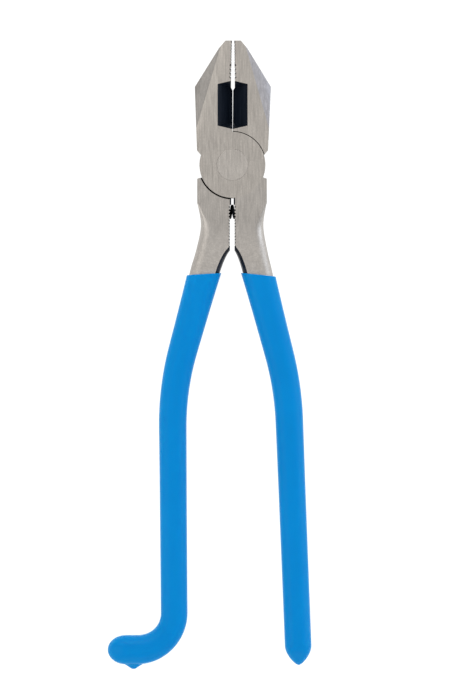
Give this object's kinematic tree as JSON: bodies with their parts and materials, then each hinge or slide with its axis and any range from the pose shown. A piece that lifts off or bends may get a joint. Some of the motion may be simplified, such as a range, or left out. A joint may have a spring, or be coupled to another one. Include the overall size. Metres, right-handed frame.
{
  "type": "ironworker's lineman pliers",
  "caption": "Side-cutting pliers with a lap joint, serrated flat nose, return spring between the tangs and dipped grips, one ending in a hook.",
  "frame": {"origin": "rivet axis at the back face of the lap joint, the face that the tool lies on", "axes": "+Y from the rivet towards the jaws' tips, +Z through the joint from its back face to its front face, +X to the right when the front face is seen with the jaws up, so the hooked handle is at -X"},
  "size_m": [0.0721, 0.2221, 0.0127],
  "materials": {
    "forged_steel": "ground satin faces with fine lines along the tool, darker forged flanks",
    "rivet_steel": "ground flush",
    "spring_steel": "black oxide, satin",
    "dipped_vinyl": "smooth blue dipped vinyl, satin gloss"
  },
  "bodies": {
    "hook_half": {"back_half": "forged_steel", "rivet": "rivet_steel", "return_spring": "spring_steel", "hook_grip": "dipped_vinyl"},
    "straight_half": {"front_half": "forged_steel", "straight_grip": "dipped_vinyl"}
  },
  "joints": [
    {"name": "rivet_joint", "type": "hinge", "parent": "hook_half", "child": "straight_half", "pos_m": [0, 0, 0.00635], "axis": [0, 0, 1], "range_deg": [-0.5, 38], "stiffness_Nm_per_rad": 1.5, "springref_deg": 28.07, "deforming": ["return_spring"]}
  ]
}
